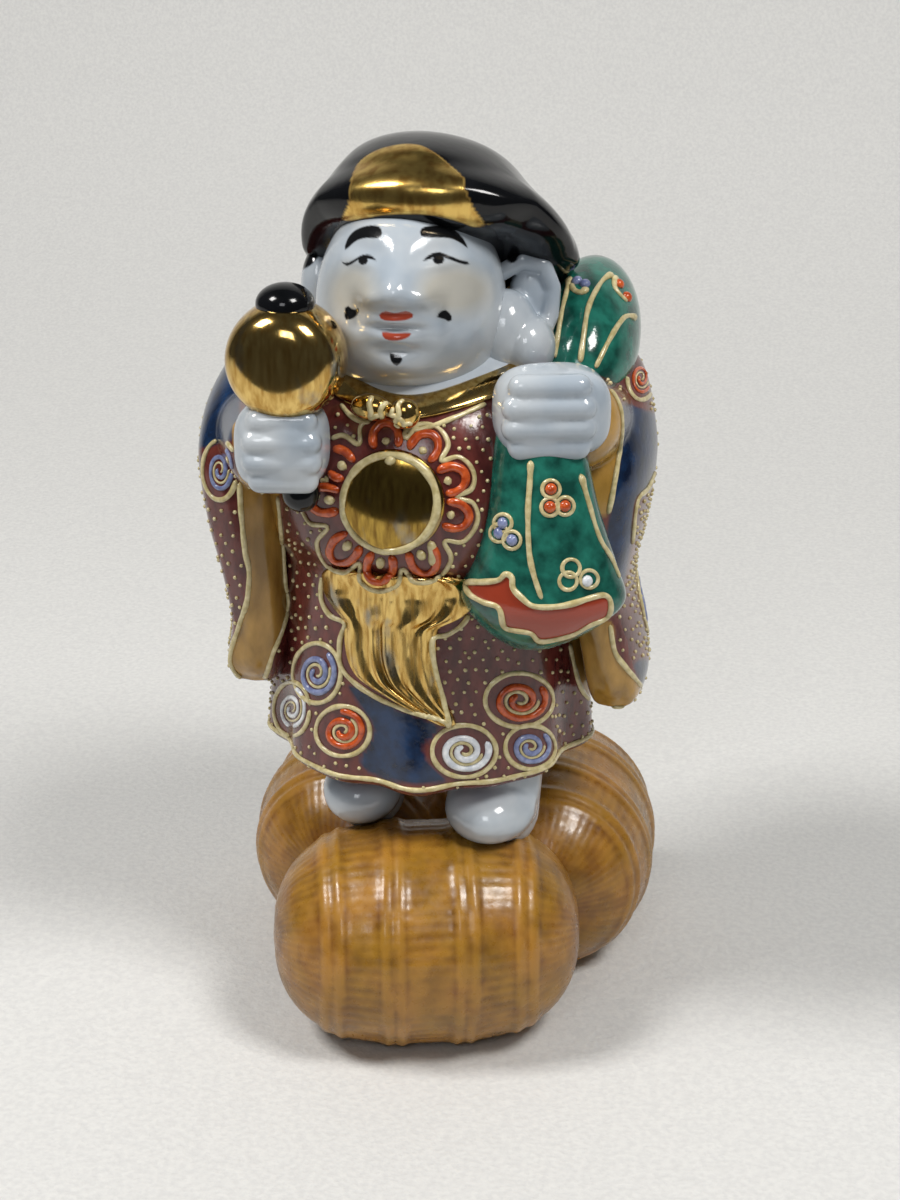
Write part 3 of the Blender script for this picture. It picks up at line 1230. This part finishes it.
def flowerPoint(degrees, along, across=0.0):
    aim = np.radians(degrees)
    centreX, centreY = flowerSettings["centre"]
    return (centreX + along * np.sin(aim) + across * np.cos(aim),
            centreY - along * np.cos(aim) + across * np.sin(aim))


def flowerOutline():
    # scallops between the far and near radii, one over each petal
    s = flowerSettings
    centres = np.array(s["petals"])
    following = np.append(centres[1:], centres[0] + 360)
    depth = s["outlineFar"] - s["outlineNear"]
    outline = []
    for here, after in zip(centres, following):
        for share in np.linspace(0, 1, 9)[:-1]:
            reach = s["outlineNear"] + depth * abs(np.cos(np.pi * share)) ** s["scallop"]
            outline.append(flowerPoint(here + (after - here) * share, reach))
    return outline


# Slip lines, in pixels of the photograph
slipLines = {
    "hemHeight": 20.2,  # mm, all the way round
    "cloth": [
        sleeveEdges["rightLining"] + [(278, 495)],
        [(602, 380)] + sleeveEdges["leftCuff"],
        [(567, 632)] + sleeveEdges["leftHem"] + [(610, 624)],
        [(668, 425), (664, 438), (657, 466), (648, 488), (637, 502), (632, 545)],
        [(322, 577), (321, 592), (323, 604), (331, 616), (345, 623), (342, 633), (340, 643), (341, 666),
         (355, 683), (380, 699), (409, 711), (443, 721), (450, 729)],
        [(450, 727), (441, 692), (434, 663), (433, 639), (447, 635), (462, 625), (469, 612), (464, 600),
         (455, 596)],
    ],
    "sack": [
        [(582, 249), (573, 265), (567, 291), (561, 317), (555, 359)],
        [(573, 247), (582, 250), (591, 252)],
        [(613, 274), (603, 280), (593, 296), (587, 313), (583, 341), (578, 379)],
        [(636, 318), (626, 316), (616, 328), (605, 348), (593, 373)],
        [(531, 453), (530, 480), (528, 513), (529, 549), (533, 572), (542, 600)],
        [(580, 473), (587, 498), (599, 537), (611, 558), (620, 579)],
        [(588, 287), (582, 293), (574, 290), (571, 283)],
        [(616, 276), (614, 286), (621, 296), (628, 302)],
    ],
    "sackBehind": [  # on the wrapped sheet
        [(27, 107), (38, 109), (52, 108), (66, 100), (76, 86)],
        [(26, 103), (36, 100), (47, 93), (54, 82), (56, 72)],
        [(25, 99), (30, 92), (34, 82), (36, 76)], [(22, 95), (24, 84), (26, 72), (28, 60)],
        [(28, 105), (42, 104), (56, 100), (64, 95)],
    ],
    "mouth": [
        (466, 583), (483, 582), (499, 580), (505, 574), (512, 577), (513, 588), (522, 598), (533, 606),
        (552, 607), (571, 604), (590, 598), (604, 595), (610, 601), (608, 616), (590, 625), (571, 635),
        (541, 641), (531, 633), (514, 630), (504, 626), (499, 608), (483, 602), (470, 594),
    ],
    "knot": [
        [(366, 423), (371, 414), (369, 404), (373, 395)],
        [(384, 421), (380, 411), (386, 403), (393, 407), (391, 417)],
        [(394, 424), (399, 415), (398, 405), (405, 399)], [(399, 428), (409, 423), (418, 430)],
        [(340, 403), (351, 416), (364, 422), (380, 420), (394, 424), (404, 430), (418, 430), (433, 426),
         (461, 415), (487, 403)],
    ],
}

berrySettings = {
    "trefoils": [  # pixels: loops round berries, colour
        (((551, 489), (550, 507), (565, 506)), "orange"),
        (((503, 523), (499, 533), (512, 540)), "lavender"),
    ],
    "emptyLoops": [(571, 568), (568, 581), (589, 579)],
    "loose": [
        ((577, 281), "lavender"), ((585, 284), "lavender"), ((619, 284), "orange"), ((627, 297), "orange"),
        ((587, 581), "white"),
    ],
    "behind": [  # on the wrapped sheet
        (((62, 84), (59.5, 88.5), (64.5, 88.5)), "orange"),
        (((37, 66), (34.5, 70.5), (39.5, 70.5)), "lavender"),
        (((78, 70), (75.5, 74.5), (80.5, 74.5)), "white"), (((54, 64), (51.5, 60), (56.5, 60)), "orange"),
    ],
    "loop": 9, "loopBehind": 2.1,  # pixels, mm
    "berry": (2.3, 1.0),  # mm wide and high
}


# Dots in staggered rows
dotSettings = {
    "size": (0.95, 0.5), "apart": 2.3,  # mm: width and height, and the least step to a dot in view
    "pixelStep": (12.4, 10.6), "pixelField": (185, 300, 675, 800),  # the field's low and high corners
    "sheetStep": (2.9, 2.45), "sheetField": (0, 21, 282.7, 113),
    "scatter": 0.13, "facing": 0.35,  # shares: of a step, and of facing the camera
    "pixelMargin": 4, "sheetMargin": 1, "clear": 0.8,  # kept free round ornament, in pixels and mm
    "bare": [  # pixels: the sash and the collar with its knot
        [(322, 577), (331, 616), (341, 666), (355, 683), (409, 711), (450, 729), (434, 663), (433, 639),
         (469, 612), (455, 594), (390, 606)],
        [(335, 398), (351, 416), (380, 424), (418, 432), (486, 404), (480, 386), (400, 400)],
    ],
}


def staggered(field, step, seed):
    # rows of places half a step out of line with each other, each scattered a little
    rng = np.random.default_rng(seed)
    left, top, right, bottom = field
    across, down = np.meshgrid(np.arange(left, right, step[0]), np.arange(top, bottom, step[1]))
    across = across + step[0] / 2 * (np.arange(len(across)) % 2)[:, None]
    places = np.stack([across, down], -1).reshape(-1, 2)
    return places + rng.normal(0, dotSettings["scatter"], places.shape) * np.array(step)


def freeOf(pixels, outlines, margin):
    free = np.ones(len(pixels), bool)
    for outline in outlines:
        free &= within(pixels, outline) < -margin
    return free


def dotPlaces(carriers, cloth):
    # rows seen from the camera first, then rows round the rest, wherever no other ornament is
    s = dotSettings
    swirlsIn = {kind: [oval(*swirl[:4]) for swirl in swirlSettings[kind]] for kind in ("front", "behind")}
    taken = clothPaint["blue"] + clothPaint["linings"] + s["bare"] + swirlsIn["front"] + [flowerOutline()]
    takenBehind = clothPaint["blueBehind"] + swirlsIn["behind"]
    back = cameraAxes()[0]
    place, normal, owner = castPixels(staggered(s["pixelField"], s["pixelStep"], 3), carriers)
    kept = np.isin(owner, cloth) & (normal @ back > s["facing"])
    place, normal = place[kept], normal[kept]
    clear = freeOf(toPhoto(place), taken, s["pixelMargin"])
    place, normal = place[clear], normal[clear]
    tree = KDTree(len(place))
    for number, spot in enumerate(place):
        tree.insert(spot, number)
    tree.balance()
    behind, facing, owner = castInwards(staggered(s["sheetField"], s["sheetStep"], 4), carriers)
    kept = np.isin(owner, cloth)
    behind, facing = behind[kept], facing[kept]
    apart = np.array([tree.find(spot)[2] for spot in behind]) > s["apart"] * mm
    clear = np.where(facing @ back > 0.05, freeOf(toPhoto(behind), taken, s["pixelMargin"]),
                     freeOf(onWrap(behind), takenBehind, s["sheetMargin"]))
    chosen = apart & clear
    print("dots", len(place), "in view and", int(chosen.sum()), "round the rest")
    place, normal = np.vstack([place, behind[chosen]]), np.vstack([normal, facing[chosen]])
    collarEdge = collarHeight(roundFrom(place)) - collarSettings["width"] / 2 - s["clear"]
    below = offBales(place)[:, 2] < collarEdge
    return place[below], normal[below]


# Every trail of slip is a row: its colour, its paths, how they are cast, the step between points,
# its width in mm, whether it closes, how much its start swells and which carriers may hold it
pixelStep = decorSettings["step"] / decorSettings["pixel"]
strokeWidths = {
    "petal": 1.9, "drop": 1.3, "flower": 1.1, "disc": 1.7, "run": 2.0, "cloth": 1.25, "sack": 1.2,
    "mouth": 1.35, "knot": 1.15, "hem": 1.2, "loop": 0.85,
}


def swirlStrokes(cloth):
    s = swirlSettings
    rows = []
    for kind, casting, step, pixel, rising in (("front", castPixels, pixelStep, decorSettings["pixel"], -1),
                                               ("behind", castInwards, decorSettings["step"], 1, 1)):
        for *form, start, colour in s[kind]:
            ring, band, thread = swirlPaths(*form, -rising * start, rising)
            scale = min(form[2:4]) * pixel / s["usual"]
            rows += [("cream", [ring], casting, step, s["outline"], True, 0, cloth),
                     (colour, [band], casting, step, s["band"] * scale, False, 0, cloth),
                     ("cream", [thread], casting, step, s["thread"] * scale, False, 0, cloth)]
    return rows


def flowerStrokes(sewn, everywhere):
    s, widths, seen = flowerSettings, strokeWidths, (castPixels, pixelStep)
    rows = []
    for aim in s["petals"]:
        petal, drop = ([flowerPoint(aim, *point) for point in s[part]] for part in ("petal", "drop"))
        rows += [("orange", [petal], *seen, widths["petal"], False, 0, sewn),
                 ("cream", [drop], *seen, widths["drop"], False, 0.5, sewn)]
    disc = oval(*s["centre"], s["ring"], s["ring"] + 1, 24)
    runs = [[flowerPoint(*point) for point in s["rimRun"]], s["lowerRun"]]
    return rows + [("cream", [flowerOutline()], *seen, widths["flower"], True, 0, sewn),
                   ("cream", [disc], *seen, widths["disc"], True, 0, everywhere),
                   ("cream", runs, *seen, widths["run"], False, 0, everywhere)]


def lineStrokes(cloth, sewn, sack):
    lines, widths, seen = slipLines, strokeWidths, (castPixels, pixelStep)
    wrapped = (castInwards, decorSettings["longStep"])
    arcs = np.linspace(0, turn * decorSettings["wrapRadius"], 90, endpoint=False)
    hem = [(arc, lines["hemHeight"]) for arc in arcs]
    return [("cream", lines["cloth"], *seen, widths["cloth"], False, 0, sewn),
            ("cream", lines["sack"], *seen, widths["sack"], False, 0.5, sack),
            ("cream", lines["sackBehind"], *wrapped, widths["sack"], False, 0.5, sack),
            ("cream", [lines["mouth"]], *seen, widths["mouth"], True, 0, sack),
            ("cream", lines["knot"], *seen, widths["knot"], False, 0, sewn),
            ("cream", [hem], *wrapped, widths["hem"], True, 0, cloth)]


def loopStrokes(sack, everywhere):
    s, width = berrySettings, strokeWidths["loop"]
    loops = [spot for trefoil, _ in s["trefoils"] for spot in trefoil] + s["emptyLoops"]
    loopsBehind = [spot for trefoil, _ in s["behind"] for spot in trefoil]
    front, behind = ([oval(*spot, radius, radius, 10) for spot in spots]
                     for spots, radius in ((loops, s["loop"]), (loopsBehind, s["loopBehind"])))
    return [("cream", front, castPixels, pixelStep, width, True, 0, everywhere),
            ("cream", behind, castInwards, decorSettings["fineStep"], width, True, 0, sack)]


def berrySpots():
    # where each berry sits, its colour and how it is cast
    s = berrySettings
    spots = [(spot, colour, castPixels) for trefoil, colour in s["trefoils"] for spot in trefoil]
    spots += [(spot, colour, castPixels) for spot, colour in s["loose"]]
    return spots + [(spot, colour, castInwards) for trefoil, colour in s["behind"] for spot in trefoil]


def layOrnament(pieces, materials):
    # every raised line, spiral, petal, berry and dot, gathered by colour
    bpy.context.view_layer.update()
    depsgraph = bpy.context.evaluated_depsgraph_get()
    carriers = [BVHTree.FromObject(piece, depsgraph) for piece in pieces.values()]
    everywhere = list(range(len(carriers)))
    numbers = dict(zip(pieces, everywhere))
    cloth = [numbers[name] for name in ("robe", "rightSleeve", "leftSleeve")]
    sewn = cloth + [numbers[name] for name in ("collar", "sash")]
    sack = [numbers[name] for name in ("sackMouth", "sackBag")]
    rows = (swirlStrokes(cloth) + flowerStrokes(sewn, everywhere) + lineStrokes(cloth, sewn, sack)
            + loopStrokes(sack, everywhere))
    grids = {name: [] for name in materials}
    for colour, *stroke in rows:
        grids[colour] += trails(carriers, *stroke)
    for spot, colour, casting in berrySpots():
        place, normal, _ = casting([spot], carriers)
        grids[colour].append(beads(place, normal, *berrySettings["berry"], 12, 5))
    grids["cream"].append(beads(*dotPlaces(carriers, cloth), *dotSettings["size"], 6, 2))
    for name, gathered in grids.items():
        points, faces = joinGrids(gathered)
        points[:, 2] = np.maximum(points[:, 2], 0)
        addPiece(name + "_slip", toMesh(name + "_slip", points, faces), materials[name])


# Stage: a pale papered sweep under and behind the figure, lit softly from above
stageSettings = {
    "halfWidth": 1.5, "columns": 24,
    "profile": [(-0.34, 0.0), (0.25, 0.0), (0.42, 0.02), (0.55, 0.08), (0.62, 0.2), (0.66, 1.4)],
    "world": "#dfe3e8", "worldStrength": 0.08, "aim": (0, 0, 0.1),
    "lights": (  # name, place, watts, size and tint
        ("right_softbox", (0.55, -0.35, 1.0), 7.9, 0.3, (1, 0.98, 0.95)),
        ("left_softbox", (-0.55, -0.3, 0.95), 7.9, 0.3, (1, 0.98, 0.95)),
        ("front_fill", (0.0, -1.2, 0.9), 2.6, 0.4, (0.95, 0.97, 1)),
    ),
}


def makeFloor():
    s = stageSettings
    across = np.linspace(-s["halfWidth"], s["halfWidth"], s["columns"])
    depth, height = np.array(s["profile"]).T
    points = np.stack([np.repeat(across, len(depth)), np.tile(depth, len(across)),
                       np.tile(height, len(across))], -1)
    here = np.arange(len(points)).reshape(len(across), -1)
    quads = np.stack([here[:-1, :-1], here[1:, :-1], here[1:, 1:], here[:-1, 1:]], -1).reshape(-1, 4)
    floor = bpy.data.objects.new("floor", toMesh("floor", points, [quads]))
    bpy.context.scene.collection.objects.link(floor)
    rounded = floor.modifiers.new("rounded", "SUBSURF")
    rounded.levels = rounded.render_levels = 2
    material, shader = newMaterial("embossed_paper", {"Roughness": 0.8})
    finish(material, shader, mottled(material, "#d2d2d1", "#dbdbd9", 1.4, 4), 1.4, 0.25, 4)
    floor.data.materials.append(material)


def makeLights():
    s = stageSettings
    scene = bpy.context.scene
    for name, place, watts, size, tint in s["lights"]:
        data = bpy.data.lights.new(name, "AREA")
        data.energy, data.size, data.color = watts, size, tint
        light = bpy.data.objects.new(name, data)
        light.location = place
        light.rotation_euler = (Vector(s["aim"]) - Vector(place)).to_track_quat("-Z", "Y").to_euler()
        scene.collection.objects.link(light)
    scene.world = bpy.data.worlds.new("world")
    scene.world.use_nodes = True
    background = scene.world.node_tree.nodes["Background"]
    background.inputs["Color"].default_value = fromHex(s["world"])
    background.inputs["Strength"].default_value = s["worldStrength"]
    scene.view_settings.view_transform = "Standard"


makeCamera()
makeFloor()
makeLights()
porcelain, black, enamel = glazedPorcelain(), blackGlaze(), robeEnamel()
brushedGold = goldLustre("brushed_gold_lustre", "#e2c177", "#b68f4b", 0.34, 0.035)
brightGold = goldLustre("bright_gold_lustre", "#e2c177", "#b68f4b", 0.16, 0.012)
thinGold = goldLustre("thin_gold_lustre", "#b39448", "#7f6230", 0.2, 0.02)
green, straw = greenEnamel(), strawGlaze()
slips = {
    "cream": slipEnamel("cream_slip", "#b9aa78", "#d8cb9d"),
    "orange": slipEnamel("orange_enamel", "#a83f18", "#d4602c"),
    "lavender": slipEnamel("lavender_enamel", "#66709a", "#8f98bd"),
    "white": slipEnamel("white_enamel", "#c9ced6", "#eef0f2"),
}
makeBales(straw)
print("bales made")
feet = makeFeet(porcelain)
robe = makeRobe(enamel)
rightSleeve, leftSleeve = makeSleeves(enamel)
collar = makeCollar(brightGold)
sash = gridPiece("sash", [skinGrid(sashForm, 200, 80)], brushedGold)
roundel = gridPiece("roundel", [skinGrid(roundelForm, 96, 24)], thinGold)
print("cloth made")
head, ears = makeHead(porcelain)
cap = gridPiece("cap", [skinGrid(capForm, 260, 170)], black)
drum = makeMallet(brightGold, black)
rightHand, leftHand = makeHands(porcelain)
sackMouth, sackBag = makeSack(green)
print("head, hands and sack made")
paintFace(head, ears)
paintOn(cap, "gilt", painted(cap, [giltPanel], 1.5))
paintNeck(robe)
for piece in (robe, rightSleeve, leftSleeve):
    paintCloth(piece)
for piece in (sackMouth, sackBag):
    paintOn(piece, "red", painted(piece, [slipLines["mouth"]], 1.5))
print("pieces painted")
layOrnament({
    "robe": robe, "rightSleeve": rightSleeve, "leftSleeve": leftSleeve, "collar": collar, "sash": sash,
    "roundel": roundel, "head": head, "ears": ears, "cap": cap, "drum": drum, "rightHand": rightHand,
    "leftHand": leftHand, "sackMouth": sackMouth, "sackBag": sackBag, "feet": feet,
}, slips)
print("ornament laid")
